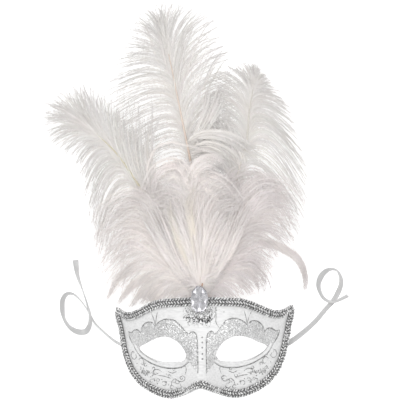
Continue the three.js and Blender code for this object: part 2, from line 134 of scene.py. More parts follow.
BROW_DUST = [[[-13, -8], [0, -10], [13, -8]], 3.3, 430, [0.25, 0.5]]
# Glitter grains in a band under the gem; their near-black colour is painted shade under the gem.
SHADED_BAND_DUST = [[[-15, -15], [-8, -16], [2, -17], [7, -18], [11, -14.6]], 1.7, 215, [0.25, 0.6]]
LOW_DUST = [[[-10, -20.5], [0, -21.5], [11, -21]], 1.7, 60, [0.2, 0.45]]
ZONE_GRAINS = {"count": 300, "radius": [0.25, 0.55]}
NOSE_DOTS = {"x": 1.8, "y": [-34.6, -39.5, -44.6, -50.6, -55.6], "radius": 0.95}
LINES = [([*ZONE_LOBES, ZONE_NOSE, ZONE_OUTER], 1.8), (CHEEK_SCROLLS, 0.8), (SPRIGS, 0.7)]
BROW_WIDTH = 0.8
CURL_WIDTH = 0.7
LID_WIDTHS = [1.3, 0.6]

# Braid
BRAID_WIDTH = 8
BRAID_STATIONS = [200, 340]
GLUE_GAP = 0.6
BRAID_BODY = 0.8
BRAID_SECTION = [[0, 0], [0, BRAID_BODY], [0.5, BRAID_BODY + 0.5], [1, BRAID_BODY], [1, 0]]
HORN_FOLD = {"reach": 13, "zone": 26, "inward": [-0.6, -0.8]}
HORN_CAP = {"x": 85.6, "y": -8.4, "reach": 1.2, "size": [0.8, 0.75, 0.9],
            "core": 2.1, "turns": [-60, 0, 60, 120, 180], "tilt": 0.2}
STITCH_PITCH = 3
STITCH_SIZE = [1.95, 0.84, 0.85]
STITCH_SWELLS = [0.75, 1.12]
STITCH_SLANT = np.radians(47)
STITCH_ROWS = [[0.1, 1], [0.5, -1], [0.9, 1]]
STITCH_LIFT = 0.3
STITCH_UNREST = 0.2

# Gem
GEM = {"half_width": 8.8, "half_length": 13.6, "height": 6.5, "y": 2.8, "lift": 2.9, "sides": 10}
GEM_RINGS = [[0.86, 0, 0], [1, 0.3, 0], [0.72, 0.72, 0.5], [0.3, 0.98, 0]]
GEM_CROWN = 1.04
FOIL = {"radius": 0.5, "levels": [0.6, 2.4]}

# Plumes
LAYER_AT_ROOT = 2.9
LAYER_SPREAD = 2.4
SPREAD_LENGTH = 60
ROOT_HEIGHT = 36.5
SAG_LENGTH = 240
SAG_WIDTH = 75
SAG_FADE = 60
FLOOR_SOFTNESS = 2
SWELL = {"layer": 3, "height": 9, "y": 75, "half_width": 45, "half_length": 38}
VANE_THICKNESS = 1.6
SHAFT_RIDGE = 1.1
PLUME_STATIONS = 240
ROUTE_STATIONS = 60
QUILL_STATIONS = 60
BARB_STATIONS = 12
BARB_LOWEST = 0.3
BARB_LONGEST = 1.05
BARB_BOW = 0.06
BARB_SWING = 0.026
BARB_WAVES = [0.7, 1.4]
BARB_TURN = 0.6
BARB_TAPER = 0.55
BARB_PLACES = [0.1, 0.9]
BARB_SHADES = {"spread": 0.035, "range": [0.86, 1.03], "tint": 0.006}
LOCK_PULLS = [0.2, 1]
TIP_LEAN = 0.56
TIP_UNREST = 0.006
# Barb tips are darkened by painted shade.
TIP_PAINTED_SHADE = 0.22
LEAN_UNREST = 0.05
ROOT_WARMTH = [0.0, 0.006, 0.02]
BARBULES = 100
BARBULE = {"length": 4.6, "at_tip": 0.16, "fall": 0.94, "swells": [0.5, 1.2], "width": 0.46,
           "turn": [12, 52], "lift": [-0.7, 1.1], "lowest": 0.15}
ROUTE_STARTS = [0, 0.45]
ROUTE_ENDS = [0.7, 1]
QUILL_TAPER = 0.7
QUILL_FADE = {"start": 0.35, "over": 0.4}
QUILL_END = 0.985
QUILL_LIFT = 0.6
STUB = {"radius": 0.7, "lift": 5, "color": [0.6, 0.4, 0.3]}
# A yellowish tone for a few strands up the front centre plume.
YELLOWISH_TONE = [0.96, 0.955, 0.905]
BACK_VANE = {"barbs": 270, "locks": 64, "pull": 0.9, "gather": 1, "shortest": 0.72, "lean": 0,
             "unrest": 1.2, "lift": [-0.7, 1.6]}
FRONT_VANE = {"barbs": 280, "locks": 60, "pull": 0.4, "gather": 1.2, "shortest": 0.66, "lean": 0.06,
              "unrest": 2, "lift": [-1, 2]}
FOUNTAIN = {"barbs": 260, "locks": 50, "pull": 0.4, "gather": 3, "shortest": 0.3, "lean": 0.2,
            "unrest": 3, "lift": [0.5, 3]}
BACK = {"layer": 1, "vane_start": 0.25, "growths": [BACK_VANE], "tone": [0.873, 0.853, 0.838],
        "barb_width": 0.8, "quill_radius": 1.45}
FRONT = {"layer": 2, "vane_start": 0.08, "growths": [FRONT_VANE, FOUNTAIN], "tone": [1.0, 0.957, 0.942],
         "barb_width": 0.5, "quill_radius": 0.7975, "quill": [[0.78, 0.7, 0.64], [0.8, 0.74, 0.7]],
         "lean": [0.7, 0.7], "gather": [1, 1]}

# Each plume has its shaft, the tips of its left and right barbs, and loose barbs beside routes.
# Loose barbs are given as route, count, half widths at its ends, lifts and any brightness. The brightness
# is a factor on the plume's tone: above 1 it paints light over shaded patches, below 1 it paints shade.
PLUMES = {
    "plume_back_center": {
        **BACK, "layer": 0, "vane_start": 0.28, "lean": [0.56, 0.56], "gather": [0.45, 0.85],
        "quill": [[0.6, 0.42, 0.3], [0.82, 0.7, 0.62]],
        "shaft": [[0, -7], [-1, 60], [-8, 132], [-17, 178], [-26, 222], [-32, 250]],
        "left": [[-52, 108], [-80, 160], [-91, 206], [-86, 232], [-77, 254], [-66, 281], [-52, 293],
                 [-38, 299]],
        "right": [[26, 112], [38, 160], [38, 205], [30, 242], [17, 270], [3, 289], [-18, 297],
                  [-38, 299]],
        "loose": [
            [[[-22, 190], [-14, 240], [0, 275], [13, 288]], 16, [5, 16], [0, 2]],
            [[[-14, 170], [2, 215], [18, 245], [33, 253]], 14, [5, 14], [0, 2]],
            [[[-30, 215], [-38, 250], [-46, 280], [-56, 292]], 12, [5, 14], [0, 2]],
            # These brighter barbs paint light over shaded patches between the back plumes.
            [[[-8, 120], [10, 150], [18, 175], [20, 200]], 34, [8, 14], [1, 4], 1.06],
            [[[-14, 150], [6, 158], [28, 152], [50, 132]], 50, [7, 20], [8, 11], 1.06],
            [[[-8, 152], [4, 172], [14, 194], [22, 220]], 36, [3, 14], [5, 9], 1.04],
        ],
    },
    "plume_back_left": {
        **BACK, "lean": [1, 0.56], "gather": [0.45, 0.85], "quill": [[0.26, 0.18, 0.09], [0.72, 0.66, 0.5]],
        "shaft": [[-4, -7], [-18, 35], [-46, 88], [-62, 118], [-84, 149], [-106, 170]],
        "left": [[-98, 40], [-107, 62], [-114, 98], [-120, 124], [-133, 146], [-152, 163], [-157, 180],
                 [-151, 199]],
        "right": [[-36, 104], [-50, 146], [-64, 172], [-82, 192], [-100, 208], [-118, 214], [-138, 210],
                  [-151, 199]],
        "loose": [
            [[[-42, 88], [-56, 126], [-62, 165], [-66, 204]], 24, [6, 20], [0, 2]],
            [[[-58, 108], [-72, 146], [-78, 180], [-76, 214]], 22, [5, 16], [0, 3]],
            [[[-44, 92], [-52, 130], [-53, 162], [-46, 194]], 22, [5, 16], [0, 3]],
            [[[-70, 130], [-92, 170], [-108, 198], [-116, 220]], 14, [5, 18], [0, 2]],
            [[[-86, 152], [-105, 182], [-120, 206], [-130, 222]], 14, [3, 20], [0, 2]],
            [[[-98, 163], [-126, 184], [-148, 196], [-166, 200]], 12, [3, 20], [0, 2]],
        ],
    },
    "plume_back_right": {
        **BACK, "lean": [0.4, 0.9], "gather": [0.75, 0.5], "quill": [[0.7, 0.64, 0.56], [0.78, 0.74, 0.68]],
        "shaft": [[4, -7], [16, 40], [32, 95], [40, 132], [47, 156], [49.5, 185], [54, 212]],
        "left": [[2, 96], [-2, 135], [4, 168], [8, 200], [13, 220], [28, 231], [44, 236], [58, 233]],
        "right": [[88, 46], [97, 72], [105, 100], [104, 132], [98, 160], [92, 184], [81, 203], [70, 219],
                  [58, 233]],
        "loose": [
            # These brighter barbs paint light over a shaded patch beside the back centre plume.
            [[[38, 118], [32, 142], [22, 164], [10, 182]], 60, [10, 16], [1, 3], 1.06],
        ],
    },
    "plume_front_left": {
        **FRONT,
        "shaft": [[-4, -7], [-12, 25], [-26, 56], [-38, 78], [-50, 95]],
        "left": [[-12, 5], [-30, 3], [-50, 0], [-66, -4], [-81, -5], [-96, 4], [-106, 24], [-108, 48],
                 [-99, 77], [-82, 100], [-61, 112]],
        "right": [[-3, 26], [-3, 58], [-5, 84], [-14, 102], [-28, 113], [-44, 117], [-61, 112]],
        "loose": [
            [[[-8, 14], [-38, 52], [-70, 72], [-94, 54], [-103, 22]], 50, [6, 24], [0.5, 4]],
            [[[-14, 40], [-38, 80], [-66, 99], [-88, 86], [-100, 58]], 50, [6, 20], [0.5, 4]],
            [[[-8, 12], [-34, 38], [-62, 42], [-84, 28], [-92, 8]], 50, [4, 18], [0.5, 4]],
            [[[-8, 28], [-18, 68], [-34, 98], [-52, 110], [-72, 103]], 50, [5, 16], [0.5, 4]],
            [[[-8, 10], [-26, 26], [-44, 24], [-58, 12], [-64, 2]], 50, [2, 12], [0.5, 3]],
            [[[-6, 12], [-16, 46], [-25, 78], [-36, 102]], 60, [4, 16], [1, 5]],
            [[[-30, 16], [-46, 7], [-59, -4]], 40, [5, 9], [0, 2]],
            [[[-30, 24], [-56, 12], [-73, -6]], 36, [5, 1.2], [0, 2]],
            [[[-44, 30], [-70, 16], [-87, -4]], 30, [5, 1.2], [0, 2]],
            [[[-52, 40], [-82, 26], [-98, 0]], 30, [5, 1.2], [0, 2]],
            [[[-50, 110], [-51, 134], [-42, 152], [-26, 178]], 2, [0.3, 1.2], [5, 7]],
            [[[-52, 128], [-44, 150], [-30, 157], [-8, 153], [22, 144]], 3, [0.3, 1.5], [6, 8]],
            [[[-28, 66], [-41, 92], [-54, 107], [-68, 110]], 46, [4, 15], [2, 5]],
        ],
    },
    "plume_front_right": {
        # The right front plume's darker tone is painted shade, for light that falls from the left.
        **FRONT, "tone": [0.965, 0.917, 0.912],
        "shaft": [[4, -7], [12, 25], [30, 58], [48, 82], [62, 100]],
        "left": [[3, 26], [4, 60], [6, 88], [16, 108], [36, 122], [54, 127], [74, 120]],
        "right": [[12, 6], [26, 4], [44, 1], [55, 7], [66, 24], [79, 42], [92, 64], [94, 90], [86, 110],
                  [74, 120]],
        "loose": [
            # The curl and the tuft below it get darker tones: painted shade.
            [[[60, 58], [72, 55], [84, 49], [95, 40], [100.5, 29], [102.3, 19], [101, 8]], 60, [4, 2.4],
             [0, 2], 0.93],
            [[[38, 38], [51, 30], [60, 19], [63, 5]], 14, [5, 8], [1, 3], 0.82],
            [[[6, 12], [17, 46], [26, 80], [38, 110]], 60, [4, 16], [1, 5]],
            [[[8, 14], [36, 50], [60, 64], [76, 56], [84, 42]], 50, [6, 18], [0.5, 4]],
            [[[14, 40], [42, 90], [66, 110], [86, 98], [96, 72]], 50, [6, 22], [0.5, 4]],
            [[[8, 12], [30, 36], [52, 40], [64, 28], [69, 14]], 50, [4, 12], [0.5, 4]],
            [[[6, 26], [18, 72], [30, 106], [48, 121], [66, 113]], 50, [5, 18], [0.5, 4]],
            [[[15, 62], [20, 88], [26, 110], [38, 126]], 46, [5, 14], [4, 7], 1.04],
            [[[8, 10], [24, 26], [40, 24], [52, 14], [56, 6]], 50, [2, 12], [0.5, 3]],
        ],
    },
    "plume_front_center": {
        **FRONT, "layer": 3, "lean": [0.76, 0.76],
        "shaft": [[0, -7], [1, 40], [-1, 78], [-7, 106], [-12, 122]],
        "left": [[-9, 8], [-24, 26], [-38, 56], [-46, 90], [-46, 115], [-37, 131], [-18, 141]],
        "right": [[9, 8], [25, 26], [38, 56], [43, 88], [38, 112], [22, 126], [2, 136], [-18, 141]],
        "stub": [[0.8, 11], [2.2, 15], [3.2, 18.5]],
        "loose": [
            [[[-10, 110], [-20, 131], [-35, 128], [-46, 104]], 34, [8, 15], [0.5, 4]],
            [[[-8, 98], [4, 118], [20, 113], [37, 88]], 34, [8, 16], [0, 2.5]],
            [[[-10, 108], [-3, 129], [10, 138], [26, 131]], 34, [4, 10], [1, 4], 1.02],
            [[[-5, 24], [-19, 60], [-26, 86], [-28, 108]], 16, [1, 5], [3, 6], YELLOWISH_TONE],
            [[[-1, 30], [-5, 70], [-8, 98], [2, 114]], 16, [1, 5], [3, 6], YELLOWISH_TONE],
            [[[0, 14], [-9, 60], [-26, 96], [-46, 98]], 50, [3, 20], [0.5, 5]],
            [[[1, 14], [8, 60], [24, 94], [44, 98]], 50, [3, 24], [0.5, 5]],
            [[[0, 12], [-2, 70], [-8, 108], [-18, 134]], 34, [3, 24], [0.5, 5]],
            [[[-3, 12], [-14, 46], [-26, 76], [-40, 98]], 60, [3, 12], [0, 3]],
            [[[3, 12], [13, 46], [24, 76], [36, 96]], 60, [3, 12], [0, 3]],
            [[[-7, 14], [-25, 42], [-40, 72], [-54, 100]], 70, [3, 12], [1, 5], 0.97],
            [[[6, 14], [22, 40], [35, 70], [48, 100]], 70, [3, 12], [1, 5], 0.97],
        ],
    },
}

# Ribbons
RIBBON_WIDTH = 6
RIBBON_THICKNESS = 0.4
RIBBON_STEP = 1.5
RIBBON_COLUMNS = 7
RIBBON_LIFT = 0.15
RIBBON_LOWEST = 0.05
RIBBON_DISH = 0.25
RIBBONS = {
    "ribbon_left": {
        "route": [[-78, -44], [-84, -43.5], [-89, -41], [-99, -33], [-110, -22], [-114, -15], [-119, -6],
                  [-125, 2], [-132, 8], [-138, 8], [-142, 3], [-143, -6], [-141, -17], [-136, -25],
                  [-128, -30], [-120, -30], [-115, -23], [-114.5, -13], [-117, -3], [-122, 12],
                  [-127, 27], [-129, 42]],
        "over": 17,
        "twist": [60, 60, 60, 65, 65, 68, 72, 72, 66, 56, 46, 44, 72, 64, 30, 10, 40, 60, 68, 74, 48, 4],
    },
    "ribbon_right": {
        "route": [[78, -44.5], [83.2, -44.1], [88, -41.3], [101, -31.5], [111, -22.5], [121, -11],
                  [128.5, -3], [134, 6], [137, 14.5], [136.5, 21.5], [133, 27.5], [127.5, 29], [122, 27],
                  [117, 21.5], [114.5, 13.5], [116, 6.5], [120, 0], [127, -3.5], [134, -2], [143.5, 2.5]],
        "over": 17,
        "twist": [40, 38, 34, 41, 44, 48, 41, 34, 44, 60, 72, 65, 41, 24, 48, 62, 65, 70, 68, 58],
    },
}
RIBBON_CROSSING = 4
RIBBON_HUMP = 3

# Light and floor, in metres: each lamp has its place, size and power
WORLD_LIGHT = 0.52
LAMPS = {
    "front": [(0.2, 0.1, 2.4), 1.4, 19],
    "key": [(-1.3, 0.9, 1.5), 0.9, 11],
    "fill": [(1.5, 0.5, 1.4), 0.9, 4.5],
    "low": [(0.2, -1.6, 1.3), 0.9, 5],
}
FLOOR_HALF = 30
FLOOR_DROP = 0.0002


# Curves and surfaces
def to_row(points):
    return np.asarray(points, float) / 1000 + PLAN_ZERO


def smooth(t):
    t = np.clip(t, 0, 1)
    return t * t * (3 - 2 * t)


def bell(u, v=0.0):
    return np.exp(-np.square(u) - np.square(v))


def unit(vectors):
    return vectors / np.maximum(np.linalg.norm(vectors, axis=-1, keepdims=True), 1e-9)


def join(*columns):
    return np.stack(columns, axis=-1)


def left_of(headings):
    return join(-headings[..., 1], headings[..., 0])


def raised(plan, height):
    return np.concatenate([plan, height[..., None]], axis=-1)


def steps_of(line):
    return np.linalg.norm(np.diff(line, axis=0), axis=1)


def even(line, count):
    """The line again, in count points at even steps."""
    run = np.concatenate([[0], np.cumsum(steps_of(line))])
    marks = np.linspace(0, run[-1], count)
    return join(*(np.interp(marks, run, column) for column in line.T))


def curve(points, count, closed=False):
    """A centripetal spline through the points, in count even steps."""
    p = np.asarray(points, float)
    if closed:
        p = np.vstack([p[-1], p, p[0], p[1]])
    else:
        p = np.vstack([2 * p[0] - p[1], p, 2 * p[-1] - p[-2]])
    a, b, c, d = p[:-3], p[1:-2], p[2:-1], p[3:]

    def gap(u, v):
        return np.sqrt(np.maximum(np.linalg.norm(v - u, axis=1), 1e-6))[:, None]

    e, f, g = gap(a, b), gap(b, c), gap(c, d)
    start = ((b - a) / e - (c - a) / (e + f) + (c - b) / f) * f
    end = ((c - b) / f - (d - b) / (f + g) + (d - c) / g) * f
    t = (np.arange(24) / 24)[None, :, None]
    b, c, start, end = (v[:, None] for v in (b, c, start, end))
    fine = (b * (1 - 3 * t**2 + 2 * t**3) + start * (t - 2 * t**2 + t**3)
            + c * (3 * t**2 - 2 * t**3) + end * (t**3 - t**2))
    fine = np.vstack([fine.reshape(-1, p.shape[1]), c[-1]])
    return even(fine, count)


def at(line, share):
    """Points of an even line at shares of its length from 0 to 1."""
    marks = np.linspace(0, 1, len(line))
    return join(*(np.interp(share, marks, column) for column in line.T))


def rise(change, distance):
    return change["by"] * smooth(distance / change["over"])


def front_height(x, y):
    flare = rise(HORN_FLARE, y - HORN_FLARE["start"])
    lift = rise(CHEEK_LIFT, CHEEK_LIFT["start"] - y)
    taper = CHEEK_TAPER * np.maximum(HORN_FLARE["start"] - y, 0)
    half_width = TEMPLE_HALF_WIDTH + flare + lift - taper
    crown = CROWN_HEIGHT - rise(CHEEK_DROP, CHEEK_DROP["start"] - y)
    arch = 1 - (np.abs(x) / half_width) ** ARCH_POWER
    down = np.clip((NOSE["start"] - y) / NOSE["over"], 0, 1)
    nose = NOSE["height"] * down**2 * bell(x / (NOSE["half_width"] + NOSE["widening"] * down))
    outward = (np.abs(x) - SOCKET["x"]) / SOCKET["half_width"]
    socket = SOCKET["depth"] * bell(outward, (y - SOCKET["y"]) / SOCKET["half_height"])
    return crown * arch + nose - socket - REST_TRIM


def front_normal(plan):
    x, y = plan[..., 0], plan[..., 1]
    slope_x = (front_height(x + SLOPE_STEP, y) - front_height(x - SLOPE_STEP, y)) / (2 * SLOPE_STEP)
    slope_y = (front_height(x, y + SLOPE_STEP) - front_height(x, y - SLOPE_STEP)) / (2 * SLOPE_STEP)
    return unit(join(-slope_x, -slope_y, np.ones_like(slope_x)))


def on_front(plan, lift=0.0):
    """Points of the shell's front over a plan, moved out along its normal."""
    plan = np.asarray(plan, float)
    base = raised(plan, front_height(plan[..., 0], plan[..., 1]))
    points = base + front_normal(plan) * np.asarray(lift, float)[..., None]
    points[..., 2] = np.maximum(points[..., 2], 0)
    return points


def mirror(points):
    return [[-x, y] for x, y in points[::-1]]


def inside(points, polygon):
    hit = np.zeros(len(points), bool)
    x, y = points[:, 0], points[:, 1]
    for (ax, ay), (bx, by) in zip(polygon, np.roll(polygon, -1, axis=0)):
        crosses = (ay > y) != (by > y)
        where = ax + (y - ay) * (bx - ax) / (by - ay if by != ay else 1e-9)
        hit ^= crosses & (x < where)
    return hit


def distance_to(points, polygon):
    return np.min([np.hypot(*(points - corner).T) for corner in polygon], axis=0)


# Meshes
def fill(boundary, holes, spacing, jitter=0.0):
    """Points and triangles that fill a boundary round its holes, and their outer edges."""
    loops = [np.asarray(loop) for loop in [boundary, *holes]]
    low, high = loops[0].min(0), loops[0].max(0)
    columns = np.arange(low[0], high[0], spacing)
    rows = np.arange(low[1], high[1], spacing * 0.87)
    grid = join(*np.meshgrid(columns, rows))
    grid[1::2, :, 0] += spacing / 2
    grid = grid.reshape(-1, 2) + draw.uniform(-jitter, jitter, (grid.size // 2, 2))
    clear = inside(grid, loops[0])
    for loop in loops:
        clear &= distance_to(grid, loop) > spacing * 0.6
    points = np.vstack([*loops, grid[clear]])
    edges = []
    start = 0
    for loop in loops:
        edges += [(start + i, start + (i + 1) % len(loop)) for i in range(len(loop))]
        start += len(loop)
    found = delaunay_2d_cdt([Vector(p) for p in points], edges, [], 0, 1e-4)
    plan = np.array([list(p) for p in found[0]])
    triangles = np.array([list(face) for face in found[2]])
    middle = plan[triangles].mean(1)
    keep = inside(middle, loops[0])
    for hole in loops[1:]:
        keep &= ~inside(middle, hole)
    triangles = triangles[keep]
    a, b, c = (plan[triangles[:, k]] for k in range(3))
    turned = (b[:, 0] - a[:, 0]) * (c[:, 1] - a[:, 1]) < (b[:, 1] - a[:, 1]) * (c[:, 0] - a[:, 0])
    triangles[turned] = triangles[turned][:, ::-1]
    used, triangles = np.unique(triangles, return_inverse=True)
    triangles = triangles.reshape(-1, 3)
    sides = {(int(t[k]), int(t[(k + 1) % 3])) for t in triangles for k in range(3)}
    rim = [side for side in sides if side[::-1] not in sides]
    return plan[used], triangles, np.array(sorted(rim))


def skin(count, sides, closed=False):
    """Faces round a row of rings, and over its two ends if it has them."""
    i = np.arange(count if closed else count - 1)[:, None] * sides
    n = (i + sides) % (count * sides)
    k = np.arange(sides)
    m = (k + 1) % sides
    quads = join(i + k, n + k, n + m, i + m).reshape(-1, 4).tolist()
    last = (count - 1) * sides
    ends = [list(range(sides)), list(range(last + sides - 1, last - 1, -1))]
    return quads if closed else quads + ends


def turned_over(faces):
    return [face[:1] + face[:0:-1] for face in faces]


def tube(points, wide, high, sides=8, up=(0, 0, 1)):
    """A closed bar along points: its points and faces."""
    count = len(points)
    wide = np.broadcast_to(wide, count)[:, None]
    high = np.broadcast_to(high, count)[:, None]
    along = unit(np.gradient(points, axis=0))
    across = unit(np.cross(along, up))
    up = np.cross(across, along)
    turn = 2 * np.pi * (np.arange(sides) + 0.5) / sides
    ring = (points[:, None] + across[:, None] * (wide * np.cos(turn))[..., None]
            + up[:, None] * (high * np.sin(turn))[..., None])
    return ring.reshape(-1, 3), skin(count, sides)


def ellipsoid():
    """A small ball whose poles lie along x, to be stretched."""
    ball = bmesh.new()
    bmesh.ops.create_uvsphere(ball, u_segments=8, v_segments=4, radius=1)
    points = np.array([list(corner.co.zxy) for corner in ball.verts])
    faces = [[corner.index for corner in face.verts] for face in ball.faces]
    ball.free()
    return points, faces


def add(name, data):
    made = bpy.data.objects.new(name, data)
    bpy.context.scene.collection.objects.link(made)
    return made


def make_piece(name, parts, materials, replaced=None, flat=False, crease=None):
    """One object from parts: points, faces, material number or numbers, and any colours."""
    points = np.vstack([part[0] for part in parts])
    points[:, 2] = np.maximum(points[:, 2], 0)
    shades = [part[3] for part in parts if len(part) > 3]
    faces = []
    numbers = []
    start = 0
    for part_points, part_faces, number, *_ in parts:
        faces += [[corner + start for corner in face] for face in part_faces]
        numbers += np.broadcast_to(number, len(part_faces)).tolist()
        start += len(part_points)
    mesh = bpy.data.meshes.new(name)
    mesh.from_pydata(to_row(points).tolist(), [], faces)
    for material in materials:
        mesh.materials.append(material)
    mesh.polygons.foreach_set("material_index", numbers)
    mesh.polygons.foreach_set("use_smooth", [not flat] * len(faces))
    if shades:
        layer = mesh.color_attributes.new("shade", "FLOAT_COLOR", "POINT")
        layer.data.foreach_set("color", np.vstack(shades).astype(np.float32).ravel())
    if crease is not None:
        mesh.set_sharp_from_angle(angle=np.radians(crease))
    mesh.update()
    piece = add(name, mesh)
    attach(piece, "root")
    if replaced:
        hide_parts(replaced)
    return piece


# Materials
class Look:
    """A node material whose surface is one shader."""

    def __init__(self, name, color, roughness, numbers=None):
        self.material = bpy.data.materials.new(name)
        self.material.use_nodes = True
        self.tree = self.material.node_tree
        self.shader = self.tree.nodes["Principled BSDF"]
        basics = {"Base Color": (*color, 1), "Roughness": roughness}
        for key, value in (basics | (numbers or {})).items():
            self.shader.inputs[key].default_value = value

    def node(self, kind, **settings):
        made = self.tree.nodes.new(kind)
        for key, value in settings.items():
            if isinstance(value, bpy.types.NodeSocket):
                self.tree.links.new(value, made.inputs[key])
            elif key in made.inputs:
                made.inputs[key].default_value = value
            else:
                setattr(made, key, value)
        return made

    def place(self):
        return self.node("ShaderNodeTexCoord").outputs["Object"]

    def noise(self, size, detail=2.0, squeeze=(1, 1, 1)):
        place = self.node("ShaderNodeMapping", Vector=self.place(), Scale=squeeze).outputs["Vector"]
        made = self.node("ShaderNodeTexNoise", Vector=place, Scale=1000 / size, Detail=detail)
        return made.outputs["Fac"]

    def ramp(self, value, stops):
        made = self.node("ShaderNodeValToRGB", Fac=value)
        elements = made.color_ramp.elements
        while len(elements) < len(stops):
            elements.new(0.5)
        for element, (position, color) in zip(elements, stops):
            element.position = position
            element.color = (*color, 1)
        return made.outputs["Color"]

    def paint(self, color):
        self.tree.links.new(color, self.shader.inputs["Base Color"])

    def tint(self, grain):
        """Paint with the mesh's own colours, broken up by a grain."""
        shade = self.node("ShaderNodeVertexColor", layer_name="shade").outputs["Color"]
        mix = self.node("ShaderNodeMix", data_type="RGBA", blend_type="MULTIPLY")
        mix.inputs["Factor"].default_value = 1
        self.tree.links.new(shade, mix.inputs["A"])
        self.tree.links.new(grain, mix.inputs["B"])
        self.paint(mix.outputs["Result"])

    def bump(self, height, depth, strength=1.0):
        made = self.node("ShaderNodeBump", Height=height, Distance=depth / 1000, Strength=strength)
        self.tree.links.new(made.outputs["Normal"], self.shader.inputs["Normal"])


def grey(value, warm=0.0):
    return (value + warm, value, value - warm)


def paint_look():
    look = Look("white_paint", grey(0.8), 0.42)
    look.paint(look.ramp(look.noise(1.6, 3, (0.18, 1, 1)), [(0.3, grey(0.7)), (0.6, grey(0.83))]))
    look.bump(look.noise(1.6, 4), 0.12, 0.5)
    return look.material


def lining_look():
    look = Look("plain_lining", grey(0.74), 0.6)
    look.bump(look.noise(2.4, 3), 0.2, 0.6)
    return look.material


def glitter_look(name, dark, bright):
    look = Look(name, grey(0.6), 0.3, {"Metallic": 0.75})
    cells = look.node("ShaderNodeTexVoronoi", Vector=look.place(), Scale=1000 / 0.7).outputs["Color"]
    look.paint(look.ramp(cells, [(0.15, grey(dark)), (0.9, grey(bright))]))
    look.bump(cells, 0.3, 0.8)
    return look.material


def thread_look():
    look = Look("silver_thread", grey(0.8), 0.4, {"Metallic": 0.3})
    look.paint(look.ramp(look.noise(2.2, 2), [(0.36, grey(0.4)), (0.56, grey(0.95))]))
    wave = look.node("ShaderNodeTexWave", Vector=look.place(), Scale=1000 / 1.1, Distortion=3.0)
    look.bump(wave.outputs["Fac"], 0.1, 0.6)
    return look.material


# The braid's core under its stitches is near black: painted shade in the gaps between the silver stitches.
def core_painted_shade_look():
    look = Look("braid_core_painted_shade", grey(0.1), 0.6)
    look.paint(look.ramp(look.noise(0.9, 2), [(0.4, grey(0.03)), (0.7, grey(0.3))]))
    look.bump(look.noise(0.6, 2), 0.2)
    return look.material


def stone_look():
    look = Look("clear_stone", (0.95, 0.945, 0.965), 0.05, {"IOR": 1.49, "Transmission Weight": 1.0})
    look.bump(look.noise(6, 1), 0.02, 0.2)
    return look.material


def foil_look():
    look = Look("stone_foil", (0.8, 0.8, 0.84), 0.36, {"Metallic": 0.8})
    look.paint(look.ramp(look.noise(5, 1), [(0.35, (0.66, 0.66, 0.68)), (0.65, (0.92, 0.92, 0.94))]))
    return look.material


def plume_look():
    look = Look("plume_barbs", grey(0.8, 0.01), 0.75, {"Sheen Weight": 0.2})
    look.tint(look.ramp(look.noise(14, 3), [(0.3, (0.96, 0.95, 0.94)), (0.7, (1, 1, 1))]))
    return look.material


def quill_look():
    look = Look("plume_quill", (0.72, 0.5, 0.3), 0.45)
    look.tint(look.ramp(look.noise(2.5, 3), [(0.3, grey(0.86)), (0.7, grey(1))]))
    look.bump(look.noise(0.8, 2), 0.05, 0.4)
    return look.material


def satin_look():
    look = Look("satin", grey(0.55), 0.33, {"Sheen Weight": 0.4, "Specular IOR Level": 0.6})
    weave = look.node("ShaderNodeTexNoise", Vector=look.node("ShaderNodeTexCoord").outputs["UV"],
                      Scale=60.0, Detail=2.0).outputs["Fac"]
    look.paint(look.ramp(weave, [(0.35, grey(0.48)), (0.65, grey(0.6))]))
    look.bump(weave, 0.05, 0.5)
    return look.material


def floor_look():
    glow = {"Emission Strength": 0.72, "Emission Color": (1, 1, 1, 1)}
    look = Look("pale_floor", grey(0.5), 0.9, glow)
    look.paint(look.ramp(look.noise(400, 1), [(0.3, grey(0.48)), (0.7, grey(0.52))]))
    return look.material


# Camera, floor and light
def make_camera():
    data = bpy.data.cameras.new("camera")
    data.sensor_width = SENSOR
    data.lens = SENSOR * VIEW_DISTANCE / VIEW_FIELD
    camera = add("camera", data)
    turn = Matrix.Rotation(VIEW_TURN, 4, "Y") @ Matrix.Rotation(-VIEW_ROLL, 4, "Z")
    back = Matrix.Translation((0, 0, VIEW_DISTANCE / 1000))
    camera.matrix_world = Matrix.Translation(Vector(to_row(VIEW_CENTRE))) @ turn @ back
    bpy.context.scene.camera = camera


def make_floor():
    mesh = bpy.data.meshes.new("floor")
    corners = [(x * FLOOR_HALF, y * FLOOR_HALF, 0) for x, y in ((-1, -1), (1, -1), (1, 1), (-1, 1))]
    mesh.from_pydata(corners, [], [(0, 1, 2, 3)])
    mesh.materials.append(floor_look())
    floor = add("floor", mesh)
    floor.location.z = -FLOOR_DROP


def make_lamp(name, place, size, power):
    data = bpy.data.lights.new(name, "AREA")
    data.shape = "DISK"
    data.size = size
    data.energy = power
    lamp = add(name, data)
    lamp.location = place
    lamp.rotation_euler = (-Vector(place)).to_track_quat("-Z", "Y").to_euler()


def make_world():
    world = bpy.data.worlds.new("studio")
    world.use_nodes = True
    background = world.node_tree.nodes["Background"]
    background.inputs["Color"].default_value = (1, 1, 1, 1)
    background.inputs["Strength"].default_value = WORLD_LIGHT
    bpy.context.scene.world = world


